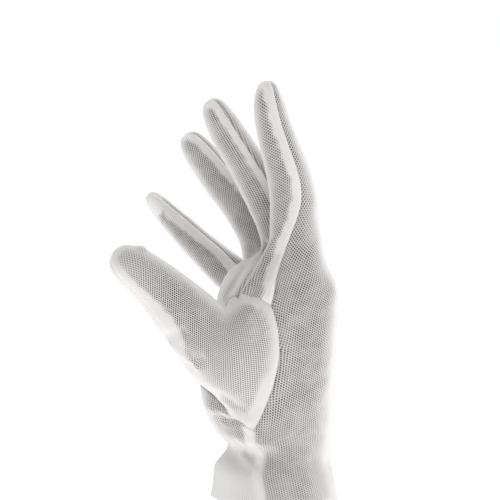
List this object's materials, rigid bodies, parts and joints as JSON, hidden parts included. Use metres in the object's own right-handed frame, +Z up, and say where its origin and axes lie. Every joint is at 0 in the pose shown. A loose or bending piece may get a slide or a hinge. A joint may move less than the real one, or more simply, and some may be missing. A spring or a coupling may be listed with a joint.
{
  "type": "cotton inspection glove",
  "caption": "Thin white cotton knit inspection glove for the right hand, in worn form with bent fingers and the thumb held out, open at a hemmed cuff.",
  "frame": {"origin": "centre of the cuff's opening, where the wrist goes in", "axes": "+Z up along the hand toward the fingertips, +X toward the back of the hand, -X toward the palm, -Y toward the thumb side"},
  "size_m": [0.111, 0.0803, 0.1906],
  "materials": {
    "cotton_knit": "matte fine knit"
  },
  "bodies": {
    "root": {"palm_panel": "cotton_knit", "back_panel": "cotton_knit", "thumb_piece": "cotton_knit"}
  },
  "joints": []
}
